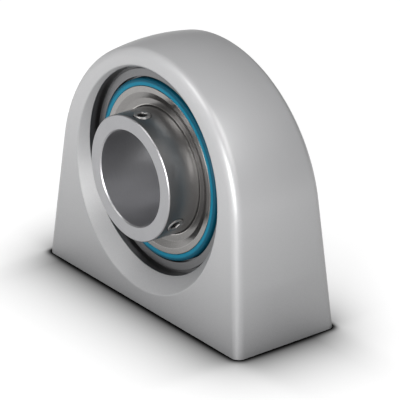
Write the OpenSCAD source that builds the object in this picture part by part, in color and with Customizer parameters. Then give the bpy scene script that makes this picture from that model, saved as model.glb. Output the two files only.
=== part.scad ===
// Pillow block bearing with a tapped base.
// A one-piece arched housing holds a ball bearing insert in a spherical seat, so
// that the insert can swivel and line itself up with its shaft. Two grub screws
// in the collar lock the insert to the shaft.
// Millimetres. The origin is the middle of the base, +Z is up, the shaft lies
// along Y and the collar looks towards -Y.

/* [Housing] */
// Length of the base
base_l = 97.5; // [88:0.5:112]
// Depth of the base
base_d = 38; // [36:0.5:50]
// Depth of the arch at its crest, which the drafted faces leave
crest_d = 27.8; // [27:0.1:34]
// Height of the shaft above the base
bearing_h = 42.9; // [41:0.1:60]
// Thickness of the arch round the insert
arch_wall = 13.3; // [11:0.1:20]
// Distance that the arch's centre lies below the shaft
arch_drop = 6.5; // [3:0.1:8]
// Swell of the outer surface between its two faces
crown = 1.5; // [0.5:0.1:3]
// Height over which the swell grows from nothing at the base
crown_rise = 20; // [5:1:40]
// Radius of the edges between the faces and the outer surface
edge_r = 2.7; // [1:0.1:4]

/* [Seat and recess] */
// Width of the spherical seat
seat_w = 22; // [19:0.5:24]
// Gap between the seat and the insert's outer ring
seat_gap = 0.05; // [0.02:0.01:0.09]
// Step from the insert's radius out to the recess wall
recess_step = 1.6; // [1:0.1:3]
// Depth of the recess wall, from the bevel down to the seat's lip
recess_wall = 2.5; // [1:0.1:3.2]
// Angle of the bevel between the recess and the face
bevel_angle = 44; // [35:1:50]
// Width of the relief groove in the corner of the recess
relief_w = 1; // [0.4:0.1:1.4]
// Depth of the relief groove
relief_d = 1.2; // [0.4:0.1:2]
// Gap round the outer ring in the two loading slots
slot_gap = 0.15; // [0.05:0.05:0.5]

/* [Tapped holes] */
// Distance between the two holes in the base
bolt_spacing = 76.2; // [64:0.1:80]
// Drilled diameter for an M10 thread
tap_d = 8.5; // [5:0.1:10]
// Depth of the full diameter
tap_depth = 18; // [10:1:22]
// Point angle of the drill
drill_angle = 118; // [90:1:140]

/* [Rings] */
// Diameter of the outer ring's spherical outside
sphere_d = 62; // [60:0.5:66]
// Width of the outer ring
outer_w = 18; // [17:0.5:20]
// Bore for the shaft
bore_d = 30; // [28:0.5:31]
// Outside diameter of the inner ring and its collar
collar_d = 39.7; // [38:0.1:40.5]
// Reach of the inner ring from the centre to the collar's face
collar_reach = 22.2; // [21:0.1:26]
// Reach of the inner ring from the centre to its plain end
plain_reach = 15.9; // [13:0.1:20]
// Chamfer at the mouths of the bore
bore_chamfer = 0.35; // [0.2:0.05:1]
// Chamfer round the ends of the inner ring
collar_chamfer = 0.3; // [0.2:0.05:1]

/* [Balls and cage] */
// Number of balls
ball_count = 9; // [9:1:9]
// Diameter of a ball
ball_d = 9.525; // [8:0.005:10]
// Distance of the ball circle inside the middle between the collar and the sphere
pitch_inset = 2.4; // [1.8:0.1:3]
// Radius of the ball tracks as a share of the ball's diameter
track_ratio = 0.52; // [0.51:0.005:0.54]
// Running gap between a ball and its tracks
track_gap = 0.03; // [0.01:0.01:0.06]
// Depth of the ball track below the outer ring's shoulders
outer_shoulder = 1.7; // [1.2:0.1:2]
// Gap between the cage and each ring
cage_gap = 1.05; // [0.6:0.05:1.2]
// Gap between a ball and its pocket
pocket_gap = 0.1; // [0.05:0.01:0.15]
// Wall of the cage behind the pockets
cage_back = 0.9; // [0.5:0.1:1.2]
// Reach of the pocket fingers past the balls' centres
cage_reach = 3.3; // [2.5:0.1:3.8]
// Width of the notch between two pockets
notch_w = 2.4; // [1:0.1:3]

/* [Seals and flingers] */
// Wall of the outer ring outside a seal
seal_wall = 2.05; // [1.6:0.05:2.4]
// Depth of the seal's seat in the outer ring
seal_depth = 2.6; // [2.4:0.1:2.8]
// Gap between pieces that are pressed together
press_gap = 0.02; // [0.01:0.01:0.05]
// Set-back of the seal's foot from the rim of the outer ring
seal_setback = 0.95; // [0.6:0.05:1.5]
// Distance that a seal stands out of the outer ring
seal_stand = 2.85; // [2.6:0.05:3.1]
// Width of the seal's flat front
seal_band = 1.35; // [1:0.05:1.6]
// Radius of the seal's outer corner
seal_round = 0.75; // [0.3:0.05:1]
// Thickness of the rubber web
web_t = 1.2; // [0.8:0.1:1.3]
// Thickness of the seal's steel plate
plate_t = 0.62; // [0.4:0.02:0.8]
// Thickness of a flinger's sheet
flinger_t = 0.6; // [0.5:0.05:0.7]
// Distance that a flinger's rim stands out of the outer ring
flinger_stand = 2.9; // [2.7:0.05:3.2]
// Depth of the dish in a flinger
dish_d = 0.9; // [0.5:0.05:1]
// Width of the flat round a flinger's hub as a share of the flinger's width
hub_flat = 0.39; // [0.3:0.01:0.45]
// Width of the flat along a flinger's rim as a share of the flinger's width
rim_flat = 0.27; // [0.15:0.01:0.3]
// Length of a flinger's hub
hub_l = 3; // [2.7:0.1:3.4]
// Running gap between a seal and a flinger
lip_gap = 0.1; // [0.04:0.01:0.1]

/* [Grub screws] */
// Thread diameter
screw_d = 6; // [4:0.5:6.5]
// Running gap between a screw and its hole
screw_gap = 0.05; // [0.02:0.01:0.08]
// Chamfer at the mouths of the screw holes
screw_mouth = 0.15; // [0.05:0.05:0.4]
// Length of a screw
screw_l = 4.1; // [3.5:0.1:4.4]
// Distance from the collar's face to the screws
screw_inset = 4.4; // [4.2:0.1:6]
// How far a screw stands out of the collar
screw_stand = 0.25; // [0.1:0.05:0.5]
// Hexagon socket across its flats
socket_af = 3; // [2:0.5:3]
// Depth of the socket
socket_depth = 2; // [1:0.1:2.4]
// Direction of the first screw, seen from the collar
screw_a1 = 88; // [0:1:180]
// Direction of the second screw, seen from the collar
screw_a2 = -32; // [-90:1:-10]

/* [Hidden] */
sphere_r = sphere_d / 2;
bore_r = bore_d / 2;
collar_r = collar_d / 2;
ball_r = ball_d / 2;
pitch_r = (sphere_r + collar_r) / 2 - pitch_inset;
half_w = outer_w / 2;
face_r = sqrt(sphere_r * sphere_r - half_w * half_w);
seat_r = sphere_r + seat_gap;

// The arch, and the straight sides that run from it to the corners of the base
arch_r = sphere_r + arch_wall;
arch_z = bearing_h - arch_drop;
face_slope = (base_d - crest_d) / 2 / (arch_z + arch_r);
side_lean = acos(arch_r / norm([base_l / 2, arch_z])) - atan2(arch_z, base_l / 2);
side_parts = 8;
arch_parts = 72;
edge_parts = 6;
crown_parts = 10;
face_trim = 0.05;

// The recess, as distances from the middle plane
recess_r = sphere_r + recess_step;
lip_y = seat_w / 2;
bevel_y = lip_y + recess_wall;
past = 12;

// Ball tracks
track_r = track_ratio * ball_d;
outer_track = pitch_r + ball_r + track_gap - track_r;
inner_track = pitch_r - ball_r - track_gap + track_r;
shoulder_r = pitch_r + ball_r - outer_shoulder;
pocket_r = ball_r + pocket_gap;

// Seals and flingers, as radii and as distances from the middle plane
seal_seat_r = face_r - seal_wall;
seal_foot_r = face_r - seal_setback;
seal_mouth_r = seal_foot_r - 0.2 - seal_round - seal_band;
seal_in_y = half_w - seal_depth;
seal_out_y = half_w + seal_stand;
web_y = half_w - 0.5;
plate_in_y = web_y - press_gap - plate_t;
bead_r = seal_seat_r - press_gap;
plate_r = bead_r - 0.6;
hub_in_r = collar_r + press_gap;
hub_r = hub_in_r + flinger_t;
lip_r = hub_r + lip_gap;
rim_r = seal_mouth_r - lip_gap;
rim_y = half_w + flinger_stand;
dish_y = rim_y - dish_d;
dish_in_r = hub_in_r + hub_flat * (rim_r - hub_in_r);
dish_out_r = rim_r - rim_flat * (rim_r - hub_in_r);

screw_y = collar_reach - screw_inset;
screw_angles = [screw_a1, screw_a2];
screw_r = screw_d / 2 - screw_gap;

steel = "#8f9194";
housing_grey = "#b9babc";
rubber_blue = "#1f7f9c";
sheet_steel = "#a9a7a5";
ground_steel = "#b0b2b5";
cage_cream = "#c9bfa2";
screw_black = "#2d2e30";

// Places a piece that is drawn round Z on the shaft, with +Z towards the collar
module on_shaft() {
    translate([0, 0, bearing_h]) rotate([90, 0, 0]) children();
}

// Turns a front piece into its mirror image at the back
module at_back() {
    mirror([0, 0, 1]) children();
}

// Half the depth of the housing between its drafted faces, at a height
function half_depth(z) = base_d / 2 - face_slope * z;

// A point of the outline, set in by d. The station runs from 0 to 1 up the right
// side, from 1 to 2 over the arch, and from 2 to 3 down the left side.
function outline(station, d) =
    station > 1.5 ? let (p = outline(3 - station, d)) [-p.x, p.y] :
    station >= 1 ?
        let (a = side_lean + (station - 1) * (180 - 2 * side_lean))
        [(arch_r - d) * cos(a), arch_z + (arch_r - d) * sin(a)] :
        let (
            top_x = (arch_r - d) * cos(side_lean),
            top_z = arch_z + (arch_r - d) * sin(side_lean)
        )
        [top_x + top_z * (1 - station) * tan(side_lean), top_z * station];

// Swell of the outer surface at a height, q being -1 and 1 at the two faces
function swell(z, q) = crown * min(max(z, 0) / crown_rise, 1) * (1 - q * q);

// One ring of the outer skin as [side, depth below the face, drop of the rounded
// edge]. The end rings stand out of the faces, which are later cut flat.
edge_rings = [
    [-face_trim, edge_r],
    for (i = [1:edge_parts - 1]) let (a = 90 - 90 * i / edge_parts)
        [edge_r * (1 - sin(a)), edge_r * (1 - cos(a))]
];
skin_rings = concat(
    [for (e = edge_rings) [-1, e[0], e[1]]],
    [for (i = [0:crown_parts]) [2 * i / crown_parts - 1, edge_r, 0]],
    [for (i = [len(edge_rings) - 1:-1:0]) [1, edge_rings[i][0], edge_rings[i][1]]]
);

// The stations start a little below the base, where the skin is cut flat too
side_stations = [-0.06, 0.02, for (i = [1:side_parts - 1]) i / side_parts];
stations = concat(
    side_stations,
    [for (i = [0:arch_parts]) 1 + i / arch_parts],
    [for (i = [len(side_stations) - 1:-1:0]) 3 - side_stations[i]]
);

function skin_point(ring, station) =
    let (
        z = outline(station, ring[2]).y,
        depth = ring[0] * (half_depth(z) - ring[1]),
        p = outline(station, ring[2] - swell(z, depth / half_depth(z)))
    )
    [p.x, ring[0] * (half_depth(p.y) - ring[1]), p.y];

// Arched body with drafted faces, a swollen outside and rounded edges
module arch_body() {
    count = len(stations);
    last = len(skin_rings) - 1;
    points = [for (ring = skin_rings) for (s = stations) skin_point(ring, s)];
    skin = [
        for (i = [0:last - 1]) for (k = [0:count - 1])
            let (a = i * count + k, b = i * count + (k + 1) % count)
            each [[a, b, b + count], [a, b + count, a + count]]
    ];
    front = [[for (k = [count - 1:-1:0]) k]];
    back = [[for (k = [0:count - 1]) last * count + k]];
    polyhedron(points, concat(front, skin, back));
}

// One side's recess: bevel, wall, relief groove and the lip of the seat
module recess() {
    rotate_extrude($fn = 144) polygon([
        [0, lip_y],
        [recess_r - relief_w, lip_y],
        [recess_r - relief_w, lip_y - relief_d],
        [recess_r, lip_y - relief_d],
        [recess_r, bevel_y],
        [recess_r + past * tan(bevel_angle), bevel_y + past],
        [0, bevel_y + past]
    ]);
}

// Two slots from the back face to the middle plane. The insert goes in through
// them on its side and is then turned into line.
module loading_slots() {
    reach = lip_y + 1;
    intersection() {
        translate([0, 0, -reach]) cylinder(r = sphere_r + slot_gap, h = reach, $fn = 144);
        cube([4 * sphere_r, outer_w + 2 * slot_gap, 4 * reach], center = true);
    }
}

module tapped_hole() {
    point_h = tap_d / 2 / tan(drill_angle / 2);
    translate([0, 0, -1]) cylinder(d = tap_d, h = tap_depth + 1, $fn = 64);
    translate([0, 0, tap_depth]) cylinder(d1 = tap_d, d2 = 0, h = point_h, $fn = 64);
}

// Everything in front of the front face
module front_waste() {
    translate([0, -base_d / 2, 0]) rotate([-atan(face_slope), 0, 0])
        translate([-base_l, -base_d, -base_d]) cube([2 * base_l, base_d, 3 * base_l]);
}

module housing() {
    color(housing_grey) difference() {
        arch_body();
        translate([-base_l, -base_d, -base_d]) cube([2 * base_l, 2 * base_d, base_d]);
        front_waste();
        mirror([0, 1, 0]) front_waste();
        on_shaft() {
            sphere(r = seat_r, $fn = 144);
            recess();
            at_back() recess();
            loading_slots();
        }
        for (side = [-1, 1]) translate([side * bolt_spacing / 2, 0, 0]) tapped_hole();
    }
}

module outer_ring() {
    color(steel) on_shaft() difference() {
        intersection() {
            sphere(r = sphere_r, $fn = 144);
            cylinder(r = sphere_r + 1, h = outer_w, center = true, $fn = 144);
        }
        rotate_extrude($fn = 144) {
            translate([0, -half_w - 1]) square([shoulder_r, outer_w + 2]);
            translate([outer_track, 0]) circle(r = track_r, $fn = 96);
            for (side = [-1, 1]) scale([1, side]) translate([0, seal_in_y]) {
                square([seal_seat_r, seal_depth + 1]);
                square([seal_seat_r + 0.5, 0.9]);
            }
        }
    }
}

module inner_ring() {
    color(ground_steel) on_shaft() difference() {
        rotate_extrude($fn = 144) difference() {
            polygon([
                [bore_r + bore_chamfer, -plain_reach],
                [collar_r - collar_chamfer, -plain_reach],
                [collar_r, collar_chamfer - plain_reach],
                [collar_r, collar_reach - collar_chamfer],
                [collar_r - collar_chamfer, collar_reach],
                [bore_r + bore_chamfer, collar_reach],
                [bore_r, collar_reach - bore_chamfer],
                [bore_r, bore_chamfer - plain_reach]
            ]);
            translate([inner_track, 0]) circle(r = track_r, $fn = 96);
        }
        for (a = screw_angles) on_screw(a) {
            cylinder(d = screw_d, h = 2 * collar_r, $fn = 64);
            translate([0, 0, collar_r - screw_mouth])
                cylinder(d1 = screw_d, d2 = screw_d + 2, h = 1, $fn = 64);
        }
    }
}

// Places a piece that is drawn up Z on the axis of the screw at an angle
module on_screw(angle) {
    rotate([0, 0, angle]) translate([0, 0, screw_y]) rotate([0, 90, 0]) children();
}

// Centre of one ball, the first lying on the right of the shaft
module at_ball(i) {
    rotate([0, 0, 360 / ball_count * i]) translate([pitch_r, 0, 0]) children();
}

// One-piece snap cage: a ring behind the balls with a finger between each pair
module cage() {
    color(cage_cream) on_shaft() difference() {
        rotate_extrude($fn = 144)
            translate([collar_r + cage_gap, -pocket_r - cage_back])
            square([shoulder_r - collar_r - 2 * cage_gap, pocket_r + cage_back + cage_reach]);
        for (i = [0:ball_count - 1]) {
            at_ball(i) sphere(r = pocket_r, $fn = 64);
            at_ball(i + 0.5) rotate([0, 90, 0]) cylinder(d = notch_w, h = 2 * ball_d, center = true, $fn = 32);
            at_ball(i + 0.5) translate([0, 0, cage_reach]) cube([2 * ball_d, notch_w, 2 * cage_reach], center = true);
        }
    }
}

module ball(i) {
    color("#c8cacd") on_shaft() at_ball(i - 1) sphere(r = ball_r, $fn = 64);
}

// Rubber seal: a bead that snaps into the outer ring, a rounded collar that
// stands out of it, and a web with two lips that run on the flinger's hub
module seal() {
    rotate_extrude($fn = 144) {
        polygon([
            [plate_r, seal_in_y + press_gap],
            [bead_r, seal_in_y + press_gap],
            [bead_r + 0.45, seal_in_y + 0.25],
            [bead_r + 0.45, seal_in_y + 0.6],
            [bead_r, seal_in_y + 0.85],
            [bead_r, half_w + press_gap],
            [seal_foot_r, half_w + press_gap],
            [seal_foot_r - 0.2, seal_out_y - seal_round],
            [seal_foot_r - 0.2 - seal_round, seal_out_y - seal_round],
            [seal_foot_r - 0.2 - seal_round, seal_out_y],
            [seal_mouth_r, seal_out_y],
            [seal_mouth_r, web_y + web_t],
            [lip_r + 0.6, web_y + web_t],
            [lip_r, web_y + web_t + 0.3],
            [lip_r, web_y + web_t - 0.1],
            [lip_r + 0.4, web_y + web_t / 2],
            [lip_r, web_y + 0.1],
            [lip_r, web_y - 0.3],
            [lip_r + 0.6, web_y],
            [plate_r, web_y]
        ]);
        translate([seal_foot_r - 0.2 - seal_round, seal_out_y - seal_round]) intersection() {
            circle(r = seal_round, $fn = 48);
            square(seal_round);
        }
    }
}

// Pressed steel plate that stiffens the rubber web
module seal_plate() {
    outer = plate_r - press_gap;
    rotate_extrude($fn = 144) {
        translate([lip_r + 1.1, plate_in_y]) square([outer - lip_r - 1.1, plate_t]);
        translate([outer - plate_t, seal_in_y + 0.15]) square([plate_t, plate_in_y + plate_t - seal_in_y - 0.15]);
    }
}

// Dished sheet steel ring, pressed on the inner ring, that throws dirt outwards
module flinger() {
    rotate_extrude($fn = 144) {
        polygon([
            [hub_in_r, dish_y - hub_l],
            [hub_r, dish_y - hub_l],
            [hub_r, dish_y - flinger_t],
            [dish_in_r, dish_y - flinger_t],
            [dish_out_r, rim_y - flinger_t],
            [rim_r, rim_y - flinger_t],
            [rim_r, rim_y],
            [dish_out_r, rim_y],
            [dish_in_r, dish_y],
            [hub_r, dish_y],
            [hub_r, dish_y - flinger_t],
            [hub_in_r, dish_y - flinger_t]
        ]);
        translate([hub_r, dish_y - flinger_t]) intersection() {
            circle(r = flinger_t, $fn = 48);
            translate([-flinger_t, 0]) square(flinger_t);
        }
    }
}

// Grub screw with a hexagon socket, a chamfered end and a cup point
module grub_screw(angle) {
    low = collar_r + screw_stand - screw_l;
    color(screw_black) on_shaft() on_screw(angle) difference() {
        rotate_extrude($fn = 64) polygon([
            [0, low + 0.6],
            [screw_r - 1.4, low],
            [screw_r - 1, low],
            [screw_r, low + 1],
            [screw_r, low + screw_l - 0.35],
            [screw_r - 0.35, low + screw_l],
            [0, low + screw_l]
        ]);
        translate([0, 0, low + screw_l - socket_depth])
            cylinder(d = socket_af / cos(30), h = socket_depth + 1, $fn = 6);
    }
}

housing();
outer_ring();
inner_ring();
cage();
for (i = [1:ball_count]) ball(i);
color(rubber_blue) on_shaft() seal();  // seal_front
color(rubber_blue) on_shaft() at_back() seal();  // seal_back
color(sheet_steel) on_shaft() seal_plate();  // seal_plate_front
color(sheet_steel) on_shaft() at_back() seal_plate();  // seal_plate_back
color(sheet_steel) on_shaft() flinger();  // flinger_front
color(sheet_steel) on_shaft() at_back() flinger();  // flinger_back
grub_screw(screw_a1);  // grub_screw_1
grub_screw(screw_a2);  // grub_screw_2
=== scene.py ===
# Pillow block bearing with a tapped base: an arched housing, and a ball bearing
# insert that is locked to its shaft by two grub screws.
import math

import bmesh
import bpy
import numpy as np
from mathutils import Matrix, Quaternion, Vector


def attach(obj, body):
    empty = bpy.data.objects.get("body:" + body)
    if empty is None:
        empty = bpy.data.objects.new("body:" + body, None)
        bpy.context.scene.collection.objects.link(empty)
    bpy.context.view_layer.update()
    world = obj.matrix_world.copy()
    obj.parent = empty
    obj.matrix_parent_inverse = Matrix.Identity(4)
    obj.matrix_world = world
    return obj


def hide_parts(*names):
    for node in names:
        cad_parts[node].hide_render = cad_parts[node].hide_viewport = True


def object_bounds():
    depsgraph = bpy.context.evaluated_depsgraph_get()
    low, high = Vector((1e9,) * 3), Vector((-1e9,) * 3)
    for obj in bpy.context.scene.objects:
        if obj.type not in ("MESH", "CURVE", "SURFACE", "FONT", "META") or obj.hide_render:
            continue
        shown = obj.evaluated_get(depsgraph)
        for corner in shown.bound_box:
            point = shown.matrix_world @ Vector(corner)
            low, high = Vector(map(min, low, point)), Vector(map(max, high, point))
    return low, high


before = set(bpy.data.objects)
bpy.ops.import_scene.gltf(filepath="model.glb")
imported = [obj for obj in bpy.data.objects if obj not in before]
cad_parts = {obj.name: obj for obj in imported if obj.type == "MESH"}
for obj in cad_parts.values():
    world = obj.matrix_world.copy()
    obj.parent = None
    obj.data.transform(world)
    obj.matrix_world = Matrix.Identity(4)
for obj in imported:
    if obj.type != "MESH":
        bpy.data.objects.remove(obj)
cad_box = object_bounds()
mm = 0.001

# Camera
# A long lens stands to the right of the collar and looks a little down on the
# block. Its place and turn follow from the outline, the collar and the base.
aim = Vector((5.95, 0, 31.97)) * mm
turn, rise, roll = math.radians(52.37), math.radians(24.10), math.radians(0.11)
distance = 860.75 * mm
camera = bpy.data.objects.new("studio_camera", bpy.data.cameras.new("studio_camera"))
camera.data.sensor_width = 36
camera.data.lens = 253.69
camera.data.clip_start, camera.data.clip_end = 0.05, 20
backwards = Vector((math.sin(turn) * math.cos(rise), -math.cos(turn) * math.cos(rise), math.sin(rise)))
camera.location = aim + backwards * distance
camera.rotation_mode = "QUATERNION"
camera.rotation_quaternion = (-backwards).to_track_quat("-Z", "Y") @ Quaternion((0, 0, 1), roll)
bpy.context.scene.collection.objects.link(camera)
bpy.context.scene.camera = camera
bpy.context.scene.view_settings.view_transform = "Standard"


# Studio
# A wide floor of white paper under a dome that is pale at the horizon and darker
# overhead and behind. Three soft lamps stand low in front, above and high in front.
class Signal:
    """An output socket of a shader node. Arithmetic on signals adds Math nodes to its tree."""

    def __init__(self, finish, socket):
        self.finish = finish
        self.socket = socket

    def math(self, operation, first, second=0.0):
        return self.finish.node("ShaderNodeMath", {"operation": operation}, {0: first, 1: second})

    def __add__(self, other):
        return self.math("ADD", self, other)

    def __radd__(self, other):
        return self.math("ADD", other, self)

    def __sub__(self, other):
        return self.math("SUBTRACT", self, other)

    def __rsub__(self, other):
        return self.math("SUBTRACT", other, self)

    def __mul__(self, other):
        return self.math("MULTIPLY", self, other)

    def __rmul__(self, other):
        return self.math("MULTIPLY", other, self)

    def __truediv__(self, other):
        return self.math("DIVIDE", self, other)

    def __pow__(self, other):
        return self.math("POWER", self, other)

    def __rpow__(self, other):
        return self.math("POWER", other, self)

    def __lt__(self, other):
        return self.math("LESS_THAN", self, other)

    def __gt__(self, other):
        return self.math("GREATER_THAN", self, other)

    def __abs__(self):
        return self.math("ABSOLUTE", self)

    def or_more(self, other):
        return self.math("MAXIMUM", self, other)

    def or_less(self, other):
        return self.math("MINIMUM", self, other)

    def ramp(self, start, width):
        """0 up to a start, and from there to 1 over a width."""
        return ((self - start) / width).or_more(0.0).or_less(1.0)


class Finish:
    """The node tree of a material or of the world, which calls fill from the texture to the shader."""

    def __init__(self, owner):
        self.owner = owner
        owner.use_nodes = True
        self.tree = owner.node_tree
        self.tree.nodes.clear()

    def node(self, kind, settings=None, sockets=None, output=0):
        """Adds a node of any type: its settings come first, then the values or links of its sockets."""
        made = self.tree.nodes.new(kind)
        for name, value in (settings or {}).items():
            setattr(made, name, value)
        for name, value in (sockets or {}).items():
            if isinstance(value, Signal):
                self.tree.links.new(value.socket, made.inputs[name])
            else:
                made.inputs[name].default_value = value
        return Signal(self, made.outputs[output]) if made.outputs else None

    def spot(self, kind="Object"):
        """The point on the piece as x, y and z, in metres from the part's origin. For the dome the kind is
        Generated, which gives the direction of the ray."""
        place = self.node("ShaderNodeTexCoord", output=kind)
        return [self.node("ShaderNodeSeparateXYZ", None, {0: place}, output=axis) for axis in range(3)]

    def noise(self, x, y, z, size, detail=2.0):
        """Cloudy noise from 0 to 1 whose patches are about a size across, in metres."""
        place = self.node("ShaderNodeCombineXYZ", None, {0: x, 1: y, 2: z})
        return self.node("ShaderNodeTexNoise", None, {"Vector": place, "Scale": 1 / size, "Detail": detail})

    def blend(self, share, first, second):
        """A colour between two others. Sockets 6 and 7 of the node take colours, and output 2 gives one."""
        return self.node("ShaderNodeMix", {"data_type": "RGBA"}, {0: share, 6: first, 7: second}, output=2)

    def grey(self, level):
        return self.node("ShaderNodeCombineColor", None, {0: level, 1: level, 2: level})

    def openness(self, reach):
        """1 where nothing stands within reach, and less in corners and near what the piece stands on."""
        return self.node("ShaderNodeAmbientOcclusion", {"samples": 8}, {"Distance": reach}, output="AO")

    def bump(self, height, distance, strength):
        sockets = {"Height": height, "Distance": distance, "Strength": strength}
        return self.node("ShaderNodeBump", None, sockets)

    def surface(self, **sockets):
        """A principled shader. An underscore in a name stands for a space."""
        named = {name.replace("_", " "): value for name, value in sockets.items()}
        return self.node("ShaderNodeBsdfPrincipled", None, named)

    def close(self, shader, kind="Material"):
        self.node(f"ShaderNodeOutput{kind}", None, {"Surface": shader})
        return self.owner


def new_finish(name):
    return Finish(bpy.data.materials.new(name))


zenith, horizon, back_share, haze = 0.30, 0.80, 0.22, 3.0
dome = Finish(bpy.data.worlds.new("studio_dome"))
bpy.context.scene.world = dome.owner
_, towards_back, upwards = dome.spot("Generated")
height_share = (1 - upwards.or_more(0.0)) ** haze
front_share = 0.5 - 0.5 * towards_back
dome_light = (zenith + (horizon - zenith) * height_share) * (back_share + (1 - back_share) * front_share)
white = (1, 1, 1, 1)
dome.close(dome.node("ShaderNodeBackground", None, {"Color": white, "Strength": dome_light}), kind="World")

floor_radius, floor_drop, floor_sides = 3.0, 0.02 * mm, 96
floor_mesh = bpy.data.meshes.new("studio_floor")
around = np.linspace(0, 2 * math.pi, floor_sides, endpoint=False)
rim = np.stack([np.cos(around), np.sin(around), 0 * around - floor_drop / floor_radius], 1) * floor_radius
floor_mesh.from_pydata(rim.tolist(), [], [list(range(len(rim)))])
floor = bpy.data.objects.new("studio_floor", floor_mesh)
bpy.context.scene.collection.objects.link(floor)

# The paper's colour and glow are painted darker near the foot, as a painted shadow:
# a soft shade falls off by e^(-d / reach), and a thin line of contact by
# e^(-(d / reach)^2), where d is the distance from the foot, a box with rounded
# corners. Past its corners the soft shade is weaker, and on its far sides both are.
paper = new_finish("studio_paper")
seen_by = ("Is Camera Ray", "Is Glossy Ray", "Is Transmission Ray")
eye, gloss, glass = [paper.node("ShaderNodeLightPath", output=name) for name in seen_by]
x, y, _ = paper.spot()
_, (foot_x, foot_y, _) = cad_box
edge_r = 2.7
corner_r = edge_r * mm
aside = abs(x) - (foot_x - corner_r)
ahead = abs(y) - (foot_y - corner_r)
away = ((aside.or_more(0.0) ** 2.0 + ahead.or_more(0.0) ** 2.0) ** 0.5 - corner_r).or_more(0.0)
corner_ease, side_weakness, corner_weakness = 4 * mm, 1.3, 0.3
past_corner = aside.or_less(ahead) - corner_r
past_corner = past_corner / (past_corner * past_corner + corner_ease**2) ** 0.5
weakness = side_weakness + corner_weakness * past_corner
far_start, far_slope = 9 * mm, 24
left_start, left_slope = -40 * mm, 25
far_share = 1 - far_slope * (y - far_start).or_more(0.0)
left_share = (1 + left_slope * (x - left_start).or_less(0.0)).or_more(0.0)
soft_reach, contact_reach, contact_end = 16.5 * mm, 1.7 * mm, 2 * mm
soft_shade = far_share * left_share * math.e ** (away * (-1 / soft_reach)) / weakness
on_far_side = ((x + foot_x) / -contact_end).or_more((y - foot_y) / contact_end).or_more(0.0).or_less(1.0)
contact_shade = (1 - on_far_side) * math.e ** (away * away * (-1 / contact_reach**2))
light_share = (1 - soft_shade) * (1 - contact_shade)
paper_grey, paper_glow = 0.38, 0.76
floor_mesh.materials.append(
    paper.close(
        paper.surface(
            Base_Color=paper.grey(paper_grey * light_share),
            Roughness=0.9,
            Specular_IOR_Level=0.0,
            Emission_Color=paper.grey(paper_glow * light_share * eye.or_more(gloss).or_more(glass)),
            Emission_Strength=1.0,
        )
    )
)

lamp_aim = Vector((0, 0, 43)) * mm


def soft_lamp(name, direction, away, width, height, strength):
    """A rectangular area lamp that stands away along a direction from the bearing and faces it."""
    lamp = bpy.data.objects.new(name, bpy.data.lights.new(name, "AREA"))
    lamp.data.shape = "RECTANGLE"
    lamp.data.size, lamp.data.size_y = width, height
    lamp.data.energy = strength
    towards = Vector(direction).normalized()
    lamp.location = lamp_aim + towards * away
    lamp.rotation_mode = "QUATERNION"
    lamp.rotation_quaternion = towards.to_track_quat("Z", "Y")
    bpy.context.scene.collection.objects.link(lamp)


soft_lamp("key_lamp", (0.478, -0.830, 0.195), away=0.9, width=0.42, height=0.44, strength=6.2)
soft_lamp("top_lamp", (0.8, -0.1, 1.0), away=1.2, width=0.8, height=0.8, strength=7.2)
soft_lamp("sky_lamp", (-0.14, -0.56, 0.82), away=1.1, width=0.6, height=0.4, strength=3.6)

# Housing
# One iron casting with drafted faces, a swollen outside and rounded edges, in a
# smooth light grey coat. Its recess, spherical seat and base are machined bare.
base_l, base_d, crest_d = 97.5, 38.0, 27.8
shaft_z, arch_r, arch_z = 42.9, 44.3, 36.4
crown, crown_rise = 1.5, 20.0
seat_r, lip_r, lip_y = 31.05, 29.04, 11.0
seat_end = lip_y - 0.3
relief_r, relief_y = 31.6, 9.8
recess_r, bevel_y, bevel_slope = 32.6, 13.5, math.tan(math.radians(44))
draft = (base_d - crest_d) / 2 / (arch_z + arch_r)
lean = math.acos(arch_r / math.hypot(base_l / 2, arch_z)) - math.atan2(arch_z, base_l / 2)


def skin(name, grid, poles=False):
    """A closed surface through a grid of points, in millimetres: each row closes on itself, and the last
    row joins the first, unless both are poles, whose points all meet. The faces are turned outwards by
    the sign of the volume that they hold, which is the sum of a . (b x c) over their triangles."""
    rows, columns = grid.shape[:2]
    i = np.arange(rows - 1 if poles else rows)[:, None]
    j = np.arange(columns)[None, :]
    after, beside = (i + 1) % rows, (j + 1) % columns
    here, there = i * columns, after * columns
    quads = np.stack([here + j, here + beside, there + beside, there + j], -1).reshape(-1, 4)
    points = grid.reshape(-1, 3) * mm
    a, b, c, d = points[quads].transpose(1, 0, 2)
    if np.sum(a * np.cross(b, c)) + np.sum(a * np.cross(c, d)) < 0:
        quads = quads[:, ::-1]
    mesh = bpy.data.meshes.new(name)
    mesh.vertices.add(len(points))
    mesh.vertices.foreach_set("co", points.ravel())
    mesh.loops.add(quads.size)
    mesh.loops.foreach_set("vertex_index", quads.ravel())
    mesh.polygons.add(len(quads))
    mesh.polygons.foreach_set("loop_start", np.arange(0, quads.size, 4))
    mesh.update(calc_edges=True)
    piece = bpy.data.objects.new(name, mesh)
    bpy.context.scene.collection.objects.link(piece)
    return piece


def settle(piece, sharp=32):
    """Welds doubled points, drops faces without area and keeps edges sharper than an angle crisp."""
    work = bmesh.new()
    work.from_mesh(piece.data)
    bmesh.ops.remove_doubles(work, verts=work.verts, dist=0.0005 * mm)
    bmesh.ops.dissolve_degenerate(work, dist=0.0002 * mm, edges=work.edges)
    work.to_mesh(piece.data)
    work.free()
    piece.data.shade_smooth()
    piece.data.set_sharp_from_angle(angle=math.radians(sharp))


def move(piece, matrix):
    """Moves a piece's mesh, and leaves its object at the origin."""
    piece.data.transform(matrix)
    return piece


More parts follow.
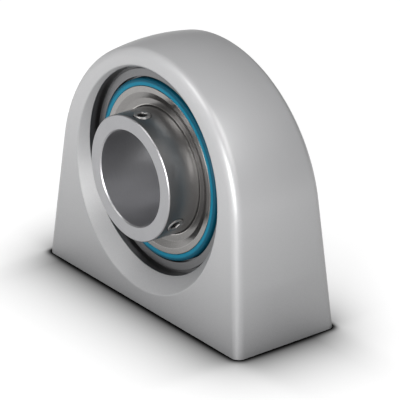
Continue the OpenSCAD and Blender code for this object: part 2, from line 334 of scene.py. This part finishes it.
def cut(piece, *cutters):
    """Takes the cutters' solids out of the piece."""
    for cutter in cutters:
        tool = piece.modifiers.new("cut", "BOOLEAN")
        tool.operation = "DIFFERENCE"
        tool.solver = "EXACT"
        tool.object = cutter
    seen = piece.evaluated_get(bpy.context.evaluated_depsgraph_get())
    cut_mesh = bpy.data.meshes.new_from_object(seen)
    piece.modifiers.clear()
    old, piece.data = piece.data, cut_mesh
    bpy.data.meshes.remove(old)
    for cutter in cutters:
        bpy.data.objects.remove(cutter)


def fit(piece, body, slot, finish, *stands_for):
    """Finishes a piece: it rides on a body, takes a finish and stands for nodes."""
    piece.data.materials.clear()
    piece.data.materials.append(finish)
    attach(piece, body)
    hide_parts(*stands_for)


def rounded(corners, steps=5, closed=True):
    """Rounds the corners of a profile, whose last axis holds (radius, depth, rounding). Each corner becomes
    an arc of its rounding that is tangent to its two sides, so it starts rounding * tan(turn / 2) before
    the corner. One more point just outside each end of the arc makes steps + 3 points for a corner."""
    corners = np.asarray(corners, float)
    corners, rounding = corners[..., :2], corners[..., 2:]
    ahead = np.roll(corners, -1, -2) - corners
    if not closed:
        ahead[..., -1, :] = ahead[..., -2, :]
    ahead /= np.linalg.norm(ahead, axis=-1, keepdims=True)
    behind = np.roll(ahead, 1, -2)
    if not closed:
        behind[..., 0, :] = ahead[..., 0, :]
    side = np.stack([-behind[..., 1], behind[..., 0]], -1)
    bend = np.arctan2(np.sum(side * ahead, -1), np.sum(behind * ahead, -1))[..., None]
    start = corners - behind * rounding * np.tan(np.abs(bend) / 2)
    swing = (np.abs(bend) * np.linspace(0, 1, steps + 1))[..., None]
    onwards, inwards = np.sin(swing), np.sign(bend)[..., None] * (1 - np.cos(swing))
    arc = start[..., None, :] + rounding[..., None] * (
        onwards * behind[..., None, :] + inwards * side[..., None, :]
    )
    margin = 0.2 * rounding[..., None]
    before = arc[..., :1, :] - margin * behind[..., None, :]
    past = arc[..., -1:, :] + margin * ahead[..., None, :]
    path = np.concatenate([before, arc, past], -2)
    return path.reshape(*corners.shape[:-2], -1, 2)


def half_depth(z):
    """Half the housing's depth at a height: the faces lean in by the draft."""
    return base_d / 2 - draft * z


def outline(station, inset):
    """A point (x, z) of the outline: stations run from 0 to 1 up the right side, a straight line tangent to
    the arch, from 1 to 2 over the arch, and from 2 to 3 down the left side. The inset moves it inwards."""
    angle = lean + (np.clip(station, 1, 2) - 1) * (math.pi - 2 * lean)
    x, z = (arch_r - inset) * np.cos(angle), arch_z + (arch_r - inset) * np.sin(angle)
    share = np.minimum(np.minimum(station, 3 - station), 1)
    return x + np.sign(x) * z * (1 - share) * math.tan(lean), z * share


def outside_ring(side, depth, drop):
    """A closed ring of the outer skin, over the arch from foot to foot and back along the base. The crown
    swells it by crown * (1 - q^2), where q is the share of the half depth, and fades out to the base."""
    _, z = outline(station, drop)
    share = side * (half_depth(z) - depth) / half_depth(z)
    swell = crown * np.clip(z / crown_rise, 0, 1) * (1 - share**2)
    x, z = outline(station, drop - swell)
    y = side * (half_depth(z) - depth)
    foot = np.stack([x[0] * across, np.full_like(across, y[0]), 0 * across], -1)
    return np.concatenate([np.stack([x, y, z], -1), foot])


side_points, arch_points, base_points, edge_points, depth_points, seat_points = 41, 220, 74, 13, 33, 14
up_side = np.linspace(0, 1, side_points)[:-1]
station = np.concatenate([up_side, np.linspace(1, 2, arch_points), 3 - up_side[::-1]])
across = np.linspace(-1, 1, base_points)[1:-1]
round_over = np.radians(np.linspace(90, 0, edge_points))
edge_rows = [(edge_r * (1 - math.sin(a)), edge_r * (1 - math.cos(a))) for a in round_over]
outside = np.stack(
    [outside_ring(-1, depth, drop) for depth, drop in edge_rows]
    + [outside_ring(share, edge_r, 0.0) for share in np.linspace(-1, 1, depth_points)[1:-1]]
    + [outside_ring(1, depth, drop) for depth, drop in edge_rows[::-1]]
)

# The front runs from the middle of the seat outwards, on a ray from the shaft's axis
# through each point of the face's rim. The first and last corners only give the
# directions in which the profile starts and ends, so their own points are dropped.
face_rim = outside_ring(-1, 0.0, edge_r)
ray = np.arctan2(face_rim[:, 2] - shaft_z, face_rim[:, 0])
flat = np.ones_like(ray)
bevel_width = bevel_slope * (half_depth(shaft_z) - bevel_y)
bevel_out = (recess_r + bevel_width) / (1 + bevel_slope * draft * np.sin(ray))
recess_corners = np.stack(
    [
        np.stack([flat * radius, flat * depth, flat * rounding], -1)
        for radius, depth, rounding in (
            (math.sqrt(seat_r**2 - seat_end**2), seat_end, 0.01),
            (lip_r, lip_y, 0.15),
            (relief_r, lip_y, 0.1),
            (relief_r, relief_y, 0.1),
            (recess_r, relief_y, 0.1),
            (recess_r, bevel_y, 0.35),
            (bevel_out, half_depth(shaft_z + bevel_out * np.sin(ray)), 0.8),
            (np.hypot(face_rim[:, 0], face_rim[:, 2] - shaft_z), -face_rim[:, 1], 0.01),
        )
    ],
    -2,
)
corner_steps = 5
dropped = corner_steps + 3
recess_rows = rounded(recess_corners, corner_steps, closed=False)[:, dropped:-dropped]
seat_depth = np.linspace(0, seat_end, seat_points)
seat_rows = np.stack([np.sqrt(seat_r**2 - seat_depth**2), seat_depth], -1) * flat[:, None, None]
outwards = np.array([0.35, 0.7, 0.98])[:, None]
face_rows = recess_rows[:, -1:] * (1 - outwards) + recess_corners[:, -1:, :2] * outwards
profile = np.concatenate([seat_rows, recess_rows, face_rows], 1)
x, z = profile[..., 0] * np.cos(ray)[:, None], profile[..., 0] * np.sin(ray)[:, None]
front = np.stack([x, -profile[..., 1], shaft_z + z], -1).transpose(1, 0, 2)
housing = skin("housing_casting", np.concatenate([front, outside, front[:0:-1] * [1, -1, 1]]))


def around_z(radius, height, turns):
    """The points (r cos t, r sin t, h), where t goes once round in the turns from 0 to 1."""
    angle = 2 * np.pi * turns
    return np.stack([radius * np.cos(angle), radius * np.sin(angle), height + 0 * angle], -1)


def thread_share(z, pitch, turns):
    """How far a thread stands out at a height and a turn, from 0 at its root to 1 at its crest: a triangle
    wave of (z / pitch - turn), steepened by 1.25, sunk by 0.1 and clipped, so that both are blunt."""
    wave = np.abs(((z / pitch - turns) % 1) * 2 - 1)
    return np.clip(1.25 * wave - 0.1, 0, 1)


def thread(name, core_r, crest_r, pitch, low, high, mouth=0.0, point=0.0, steps=48, per_turn=10):
    """A closed threaded rod up Z, in millimetres: its radius is the core's plus the share of the thread's
    depth. A mouth widens its top by 45 degrees up to that radius, and a point is the height of a cone
    on top."""
    z = np.linspace(low, high, int((high - low) / pitch * per_turn))[:, None]
    turns = np.arange(steps)[None, :] / steps
    radius = core_r + (crest_r - core_r) * thread_share(z, pitch, turns)
    if mouth:
        radius = np.maximum(radius, mouth - (high - z))
    grid = around_z(radius, z, turns)
    tip = grid[-1:] * [0, 0, 1] + [0, 0, point]
    rod = skin(name, np.concatenate([grid[:1] * [0, 0, 1], grid, tip]), poles=True)
    settle(rod)
    return rod


hole_spacing, tap_depth, tap_core, tap_crest, tap_pitch = 76.2, 18.0, 4.25, 5.0, 1.5
tap_point, tap_below = tap_core / math.tan(math.radians(59)), -0.2
taps = [
    move(
        thread("base_tap", tap_core, tap_crest, tap_pitch, tap_below, tap_depth, point=tap_point),
        Matrix.Translation((side * hole_spacing / 2 * mm, 0, 0)),
    )
    for side in (-1, 1)
]
slot_r, slot_half, slot_end, slot_points = 31.15, 9.15, 12.0, 24
side_arc = np.linspace(-1, 1, slot_points) * math.asin(slot_half / slot_r)
slot_edge = np.concatenate([side_arc, math.pi + side_arc])
slot_x, slot_z = slot_r * np.cos(slot_edge), slot_r * np.sin(slot_edge)
slot_rows = [(0, 0.0), (1, 0.0), (1, slot_end), (0, slot_end)]
slot = np.stack(
    [np.stack([share * slot_x, 0 * slot_edge + y, shaft_z + share * slot_z], -1) for share, y in slot_rows]
)
cut(housing, *taps, skin("loading_slot", slot, poles=True))
settle(housing)


def lathe_marks(finish, x, y, z, size=0.22, drift=0.02):
    """The distance from the shaft's axis, and the fine lines that a turning tool leaves round it, which are
    noise of that distance and of y. The drift is how much they change over a radian about the base."""
    above = z - shaft_z * mm
    radius = (x * x + above * above) ** 0.5
    lines = finish.noise(radius, y, drift * x.math("ARCTAN2", x, z), size * mm, detail=4.0)
    return radius, lines


paint = new_finish("smooth_grey_coat")
x, y, z = paint.spot()
radius, lines = lathe_marks(paint, x, y, z)
recess_edge, bevel_edge = (recess_r + 0.1) * mm, 38 * mm
base_skim, hole_top, hole_edge = 0.01 * mm, (tap_depth + 3) * mm, tap_crest * 1.02 * mm
in_hole = ((abs(x) - hole_spacing / 2 * mm) ** 2.0 + y * y < hole_edge**2) * (z < hole_top)
bare = (radius < recess_edge).or_more(z < base_skim).or_more(in_hole)
behind_face = abs(y) + draft * z < (base_d / 2 - 0.15) * mm
in_bevel = behind_face * (radius > recess_edge) * (radius < bevel_edge)
mottle = paint.noise(x, y, z, 25 * mm)
peel = paint.noise(x, y, z, 1.1 * mm)
coat_colour = paint.blend(mottle, (0.360, 0.360, 0.366, 1), (0.394, 0.394, 0.400, 1))
bare_colour = paint.blend(lines, (0.19, 0.19, 0.195, 1), (0.29, 0.29, 0.295, 1))
# Painted shade: the coat, and less so the bare metal, is blended towards near black in corners, in the recess
# and near the floor, by how open each point is within the shade's reach.
painted_shade_colour = (0.035, 0.035, 0.037, 1)
shade_reach, shade_power, bare_openness = 60 * mm, 1.25, 0.75
open_share = (paint.openness(shade_reach) ** shade_power).or_more(bare_openness * bare)
coat = paint.close(
    paint.surface(
        Base_Color=paint.blend(open_share, painted_shade_colour, paint.blend(bare, coat_colour, bare_colour)),
        Metallic=bare,
        Roughness=0.31 + 0.05 * mottle + 0.14 * in_bevel,
        IOR=2.0,
        Normal=paint.bump(peel * (1 - bare) * 0.6 + lines * bare, 0.02 * mm, 0.5),
    )
)
fit(housing, "housing", "housing_paint", coat, "housing")


# Outer ring
# Bearing steel, ground to a sphere outside so that it swivels in the housing's
# seat. Its ends are turned flat and hold the seals in a bored seat.
def revolved(name, profile, front=True, steps=300):
    """A ring turned round the shaft's axis from a closed profile of (radius, distance in front of the
    middle), in millimetres: each point goes round as (r cos t, r sin t). A back piece is its mirror image."""
    turn = np.arange(steps) / steps * 2 * np.pi
    radius = profile[:, 0][:, None]
    depth = profile[:, 1][:, None] * (-1 if front else 1) + 0 * turn
    piece = skin(name, np.stack([radius * np.cos(turn), depth, shaft_z + radius * np.sin(turn)], -1))
    settle(piece)
    return piece


def arc(centre_r, radius, first, last, count):
    """Points of (radius, depth) on a circle whose centre lies in the middle plane, between two depths."""
    depth = np.linspace(first, last, count)
    return np.stack([centre_r + math.copysign(1, radius) * np.sqrt(radius**2 - depth**2), depth], -1)


sphere_r, ring_half, pitch_r, ball_d = 31.0, 9.0, 23.025, 9.525
ball_r, track_gap, track_r = ball_d / 2, 0.03, 0.52 * ball_d
face_r = math.sqrt(sphere_r**2 - ring_half**2)
outer_track = pitch_r + ball_r + track_gap - track_r
shoulder_r = pitch_r + ball_r - 1.7
track_half = math.sqrt(track_r**2 - (shoulder_r - outer_track) ** 2)
seal_seat_r, seal_in_y = face_r - 2.05, ring_half - 2.6
groove_r, groove_y = seal_seat_r + 0.5, seal_in_y + 0.9
sphere_end, track_points, sphere_points = ring_half - 0.4, 25, 33
side_corners = [
    (shoulder_r, 0, 0.01), (shoulder_r, seal_in_y, 0.1),
    (groove_r, seal_in_y, 0.05), (groove_r, groove_y, 0.05),
    (seal_seat_r, groove_y, 0.1), (seal_seat_r, ring_half, 0.1),
    (face_r, ring_half, 0.3), (sphere_r, ring_half - 4, 0.01),
]
side_rows = rounded(side_corners, corner_steps, closed=False)[dropped:-dropped]
outer_profile = np.concatenate([
    arc(outer_track, track_r, -track_half, track_half, track_points),
    side_rows,
    arc(0, sphere_r, sphere_end, -sphere_end, sphere_points),
    side_rows[::-1] * [1, -1],
])
outer_ring = revolved("outer_ring_turned", outer_profile)

ground = new_finish("ground_ring_steel")
x, y, z = ground.spot()
_, lines = lathe_marks(ground, x, y, z, 0.2)
tone = 0.6 * lines + 0.4 * ground.noise(x, y, z, 6 * mm)
ring_finish = ground.close(
    ground.surface(
        Base_Color=ground.blend(tone, (0.27, 0.27, 0.28, 1), (0.38, 0.38, 0.39, 1)),
        Metallic=1.0,
        Roughness=0.28 + 0.08 * tone,
        Normal=ground.bump(lines, 0.004 * mm, 0.35),
    )
)
fit(outer_ring, "outer_race", "ring_steel", ring_finish, "outer_ring")

# Inner ring
# Bearing steel that reaches past the housing on one side as a collar. The collar
# holds two threaded holes for the grub screws, a third of a turn apart.
bore_r, collar_r, collar_reach, plain_reach = 15.0, 19.85, 22.2, 15.9
bore_chamfer, collar_chamfer, break_r = 0.35, 0.3, 0.06
inner_track = pitch_r - ball_r - track_gap + track_r
groove_half = math.sqrt(track_r**2 - (inner_track - collar_r) ** 2)
ring_corners = [
    (bore_r, bore_chamfer - plain_reach), (bore_r, collar_reach - bore_chamfer),
    (bore_r + bore_chamfer, collar_reach), (collar_r - collar_chamfer, collar_reach),
    (collar_r, collar_reach - collar_chamfer), (collar_r, groove_half),
    (collar_r, -groove_half), (collar_r, collar_chamfer - plain_reach),
    (collar_r - collar_chamfer, -plain_reach), (bore_r + bore_chamfer, -plain_reach),
]
break_steps = 3
ring_rows = rounded([(*corner, break_r) for corner in ring_corners], break_steps)
per_corner = break_steps + 3
before_track, past_track = 5 * per_corner + per_corner // 2, 6 * per_corner + per_corner // 2
track_rows = arc(inner_track, -track_r, groove_half, -groove_half, track_points)
inner_profile = np.concatenate([ring_rows[:before_track], track_rows, ring_rows[past_track:]])
inner_ring = revolved("inner_ring_turned", inner_profile, steps=360)

screw_y, screw_angles, screw_pitch = collar_reach - 4.4, (88, -32), 0.75
hole_core, hole_crest, hole_mouth, overcut = 2.72, 3.0, 3.0, 0.6


def on_screw(angle):
    """Turns what is drawn up Z into line with the screw at an angle round the shaft."""
    place = Matrix.Translation((0, -screw_y * mm, shaft_z * mm))
    return place @ Matrix.Rotation(math.radians(90 - angle), 4, "Y")


drill_low, drill_high, drill_mouth = bore_r - 1.5, collar_r + overcut, hole_mouth + overcut
drills = [
    move(
        thread("screw_drill", hole_core, hole_crest, screw_pitch, drill_low, drill_high, mouth=drill_mouth),
        on_screw(angle),
    )
    for angle in screw_angles
]
cut(inner_ring, *drills)
settle(inner_ring)

turned = new_finish("ground_collar_steel")
x, y, z = turned.spot()
radius, lines = lathe_marks(turned, x, y, z)
tone = 0.65 * lines + 0.35 * turned.noise(x, y, z, 5 * mm)
middle_y, half_length = (collar_reach - plain_reach) / 2, (collar_reach + plain_reach) / 2
bore_edge, end_skim = (bore_r + 0.1) * mm, 0.15
in_bore = radius < bore_edge
on_face = (abs(y + middle_y * mm) > (half_length - end_skim) * mm) * (radius > bore_edge)
dark_tone = turned.blend(tone, (0.28, 0.275, 0.275, 1), (0.35, 0.345, 0.345, 1))
# Painted light: the bore's steel is given a lighter tone than the outside of the ring.
lit_bore_tone = turned.blend(tone, (0.44, 0.44, 0.455, 1), (0.57, 0.57, 0.585, 1))
face_tone = turned.blend(tone, (0.31, 0.31, 0.32, 1), (0.43, 0.43, 0.44, 1))
collar_finish = turned.close(
    turned.surface(
        Base_Color=turned.blend(on_face, turned.blend(in_bore, dark_tone, lit_bore_tone), face_tone),
        Metallic=1.0,
        Roughness=0.36 + 0.01 * on_face + 0.01 * in_bore + 0.06 * (tone - 0.5),
        Normal=turned.bump(lines, 0.004 * mm, 0.35),
    )
)
fit(inner_ring, "inner_race", "ring_steel", collar_finish, "inner_ring")

# Balls and cage
# Nine polished steel balls run between the rings, each in its own pocket of a
# one-piece moulded cage.
polish = new_finish("polished_ball_steel")
x, y, z = polish.spot()
smear = polish.noise(x, y, z, 2.5 * mm)
ball_finish = polish.close(
    polish.surface(
        Base_Color=polish.blend(smear, (0.62, 0.62, 0.63, 1), (0.70, 0.70, 0.71, 1)),
        Metallic=1.0,
        Roughness=0.06 + 0.06 * smear,
    )
)
nylon = new_finish("moulded_nylon")
x, y, z = nylon.spot()
flow = nylon.noise(x, 3.0 * y, z, 4 * mm)
grain = nylon.noise(x, y, z, 0.3 * mm)
cage_finish = nylon.close(
    nylon.surface(
        Base_Color=nylon.blend(flow, (0.56, 0.49, 0.34, 1), (0.66, 0.60, 0.46, 1)),
        Roughness=0.42 + 0.1 * flow,
        Normal=nylon.bump(grain, 0.02 * mm, 0.4),
    )
)
for name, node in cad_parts.items():
    if name.startswith("ball_") or name == "cage":
        node.data.materials.clear()
        node.data.materials.append(cage_finish if name == "cage" else ball_finish)

# Seals
# Blue rubber, moulded as one ring: a bead snaps into the outer ring, a rounded
# collar stands out of it, and two lips run on the flinger's hub.
press_gap, flinger_t, lip_gap = 0.02, 0.6, 0.1
web_y, web_t, web_foot = ring_half - 0.5, 1.2, 0.6
web_out = web_y + web_t
bead_r, seal_low = seal_seat_r - press_gap, seal_in_y + press_gap
bead_crest = bead_r + 0.45
foot_r, foot_y, seal_out_y = face_r - 0.95, ring_half + press_gap, ring_half + 2.85
shoulder_round, band = 0.75, 1.35
flank_r = foot_r - 0.2
mouth_r = flank_r - shoulder_round - band
rubber_lip_r = collar_r + press_gap + flinger_t + lip_gap
seal_corners = [
    (bead_r - web_foot, seal_low, 0.05), (bead_r, seal_low, 0.05),
    (bead_crest, seal_in_y + 0.25, 0.08), (bead_crest, seal_in_y + 0.6, 0.08),
    (bead_r, seal_in_y + 0.85, 0.05), (bead_r, foot_y, 0.05),
    (foot_r, foot_y, 0.15), (flank_r, seal_out_y, shoulder_round),
    (mouth_r, seal_out_y, 0.12), (mouth_r, web_out, 0.25),
    (rubber_lip_r + 0.6, web_out, 0.1), (rubber_lip_r, web_out + 0.3, 0.04),
    (rubber_lip_r, web_out - 0.1, 0.04), (rubber_lip_r + 0.4, web_y + web_t / 2, 0.1),
    (rubber_lip_r, web_y + 0.1, 0.04), (rubber_lip_r, web_y - 0.3, 0.04),
    (rubber_lip_r + 0.6, web_y, 0.1), (bead_r - web_foot, web_y, 0.05),
]
rubber = new_finish("blue_seal_rubber")
x, y, z = rubber.spot()
radius, lines = lathe_marks(rubber, x, y, z, 0.35)
bloom = rubber.noise(x, y, z, 3 * mm)
inner_blue = rubber.blend(bloom, (0.002, 0.140, 0.220, 1), (0.004, 0.172, 0.27, 1))
# Painted shade: the seal's outer flank, beyond 27.3 mm from the axis, is a darker teal where the housing's
# recess shades it.
painted_shade_teal = (0.000, 0.060, 0.100, 1)
painted_shade_share = radius.ramp(27.3 * mm, 0.5 * mm)
seal_finish = rubber.close(
    rubber.surface(
        Base_Color=rubber.blend(painted_shade_share, inner_blue, painted_shade_teal),
        Roughness=0.42 + 0.12 * bloom,
        Specular_IOR_Level=0.2,
        Normal=rubber.bump(0.6 * lines + 0.4 * bloom, 0.01 * mm, 0.3),
    )
)
for side in ("front", "back"):
    seal = revolved(f"seal_{side}_moulded", rounded(seal_corners), side == "front")
    fit(seal, "outer_race", "seal_rubber", seal_finish, f"seal_{side}")

# Seal plates
# A pressed sheet steel ring behind each seal stiffens the rubber. It is seen only
# through the gap at the lips.
zinc = new_finish("zinc_plate")
x, y, z = zinc.spot()
spangle = zinc.noise(x, y, z, 1.5 * mm)
plate_finish = zinc.close(
    zinc.surface(
        Base_Color=zinc.blend(spangle, (0.48, 0.48, 0.49, 1), (0.60, 0.60, 0.61, 1)),
        Metallic=1.0,
        Roughness=0.34 + 0.12 * spangle,
    )
)
for side in ("front", "back"):
    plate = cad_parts[f"seal_plate_{side}"]
    plate.data.materials.clear()
    plate.data.materials.append(plate_finish)

# Flingers
# Dished rings of sheet steel, pressed on the inner ring in front of each seal.
# They turn with the shaft and throw dirt off.
rim_y, hub_l = ring_half + 2.9, 3.0
dish_y, rim_r, hub_in = rim_y - 0.9, mouth_r - 0.1, collar_r + press_gap
hub_out, hub_end = hub_in + flinger_t, dish_y - hub_l
dish_in, dish_out = hub_in + 0.39 * (rim_r - hub_in), rim_r - 0.27 * (rim_r - hub_in)
flinger_corners = [
    (hub_in, hub_end, 0.08), (hub_out, hub_end, 0.08), (hub_out, dish_y - flinger_t, 0.08),
    (dish_in, dish_y - flinger_t, 0.3), (dish_out, rim_y - flinger_t, 0.3),
    (rim_r, rim_y - flinger_t, 0.1), (rim_r, rim_y, 0.12),
    (dish_out, rim_y, 0.3), (dish_in, dish_y, 0.4), (hub_in, dish_y, 0.5),
]
pressed = new_finish("pressed_sheet_steel")
radius, lines = lathe_marks(pressed, *pressed.spot(), 0.3)
rim_tone = pressed.blend(lines, (0.27, 0.265, 0.26, 1), (0.36, 0.35, 0.34, 1))
# Painted shade: the dish inside 24.4 mm is a darker copy of the rim's steel.
shaded_dish_tone = pressed.blend(lines, (0.21, 0.205, 0.20, 1), (0.28, 0.272, 0.265, 1))
dish_edge, crease_r, crease_half = 24.4 * mm, (hub_in + 0.55) * mm, 0.12 * mm
in_crease = abs(radius - crease_r) < crease_half
sheet_tone = pressed.blend(radius < dish_edge, rim_tone, shaded_dish_tone)
# Painted highlight: a thin band at the hub's bend is a lighter steel, a painted glint.
painted_glint = (0.50, 0.49, 0.47, 1)
flinger_finish = pressed.close(
    pressed.surface(
        Base_Color=pressed.blend(in_crease, sheet_tone, painted_glint),
        Metallic=1.0,
        Roughness=0.20 + 0.08 * lines,
        Normal=pressed.bump(lines, 0.004 * mm, 0.3),
    )
)
for side in ("front", "back"):
    flinger = revolved(f"flinger_{side}_pressed", rounded(flinger_corners), side == "front")
    fit(flinger, "inner_race", "sheet_steel", flinger_finish, f"flinger_{side}")

# Grub screws
# Short threaded pins of blackened steel with a hexagon socket outside and a cup
# point inside, which bites the shaft.
screw_core, screw_crest, screw_low, screw_l = 2.42, 2.68, 16.0, 4.1
tip_chamfer, end_chamfer, cup_depth = 1.0, 0.35, 0.6
socket_r, socket_depth, socket_cone = 3.0 / 2, 2.0, 0.6
screw_steps, per_pitch = 72, 12


def grub_screw(name):
    """A screw up Z with its tip at the bottom. Its rows run from the cup's middle out over the tip, up the
    thread, and over the end into the socket, whose radius is r / cos(angle from the middle of a flat)."""
    turns = np.arange(screw_steps)[None, :] / screw_steps
    top = screw_low + screw_l
    z = np.linspace(screw_low, top, int(screw_l / screw_pitch * per_pitch))[:, None]
    ends = np.minimum(screw_crest - tip_chamfer + (z - screw_low), screw_crest - end_chamfer + (top - z))
    shank = np.minimum(screw_core + (screw_crest - screw_core) * thread_share(z, screw_pitch, turns), ends)
    hexagon = socket_r / np.cos((turns * 2 * np.pi + np.pi / 6) % (np.pi / 3) - np.pi / 6)
    cup = [(0, cup_depth), (0.7, 0.4), (screw_crest - 1.4, 0.02)]
    socket = [
        (socket_r + 0.42, 0), (hexagon * 1.03, 0.12), (hexagon, 0.2), (hexagon, socket_depth),
        (socket_r * 0.8, socket_depth + 0.05), (0, socket_depth + socket_cone),
    ]
    rows = [(r, screw_low + h) for r, h in cup] + [(shank, z)] + [(r, top - h) for r, h in socket]
    radius = np.concatenate([r + 0 * turns for r, _ in rows])
    height = np.concatenate([h + 0 * turns for _, h in rows])
    screw = skin(name, around_z(radius, height, turns), poles=True)
    settle(screw)
    return screw


blackened = new_finish("blackened_steel")
x, y, z = blackened.spot()
radius, _ = lathe_marks(blackened, x, y, z)
oil = blackened.noise(x, y, z, 0.8 * mm)
oxide = blackened.blend(oil, (0.035, 0.035, 0.037, 1), (0.075, 0.074, 0.073, 1))
# The screw's outer end is lighter steel: rubbed bare by the tool, and also a painted highlight on its
# chamfer.
rubbed_and_glint_share = radius.ramp(19.6 * mm, 0.25 * mm)
rubbed_and_glint = (0.30, 0.295, 0.29, 1)
screw_finish = blackened.close(
    blackened.surface(
        Base_Color=blackened.blend(rubbed_and_glint_share, oxide, rubbed_and_glint),
        Metallic=0.8,
        Roughness=0.30 + 0.15 * oil,
        Normal=blackened.bump(oil, 0.01 * mm, 0.3),
    )
)
for number, angle in enumerate(screw_angles, 1):
    screw = move(grub_screw(f"grub_screw_{number}_threaded"), on_screw(angle))
    fit(screw, f"grub_screw_{number}", "screw_steel", screw_finish, f"grub_screw_{number}")
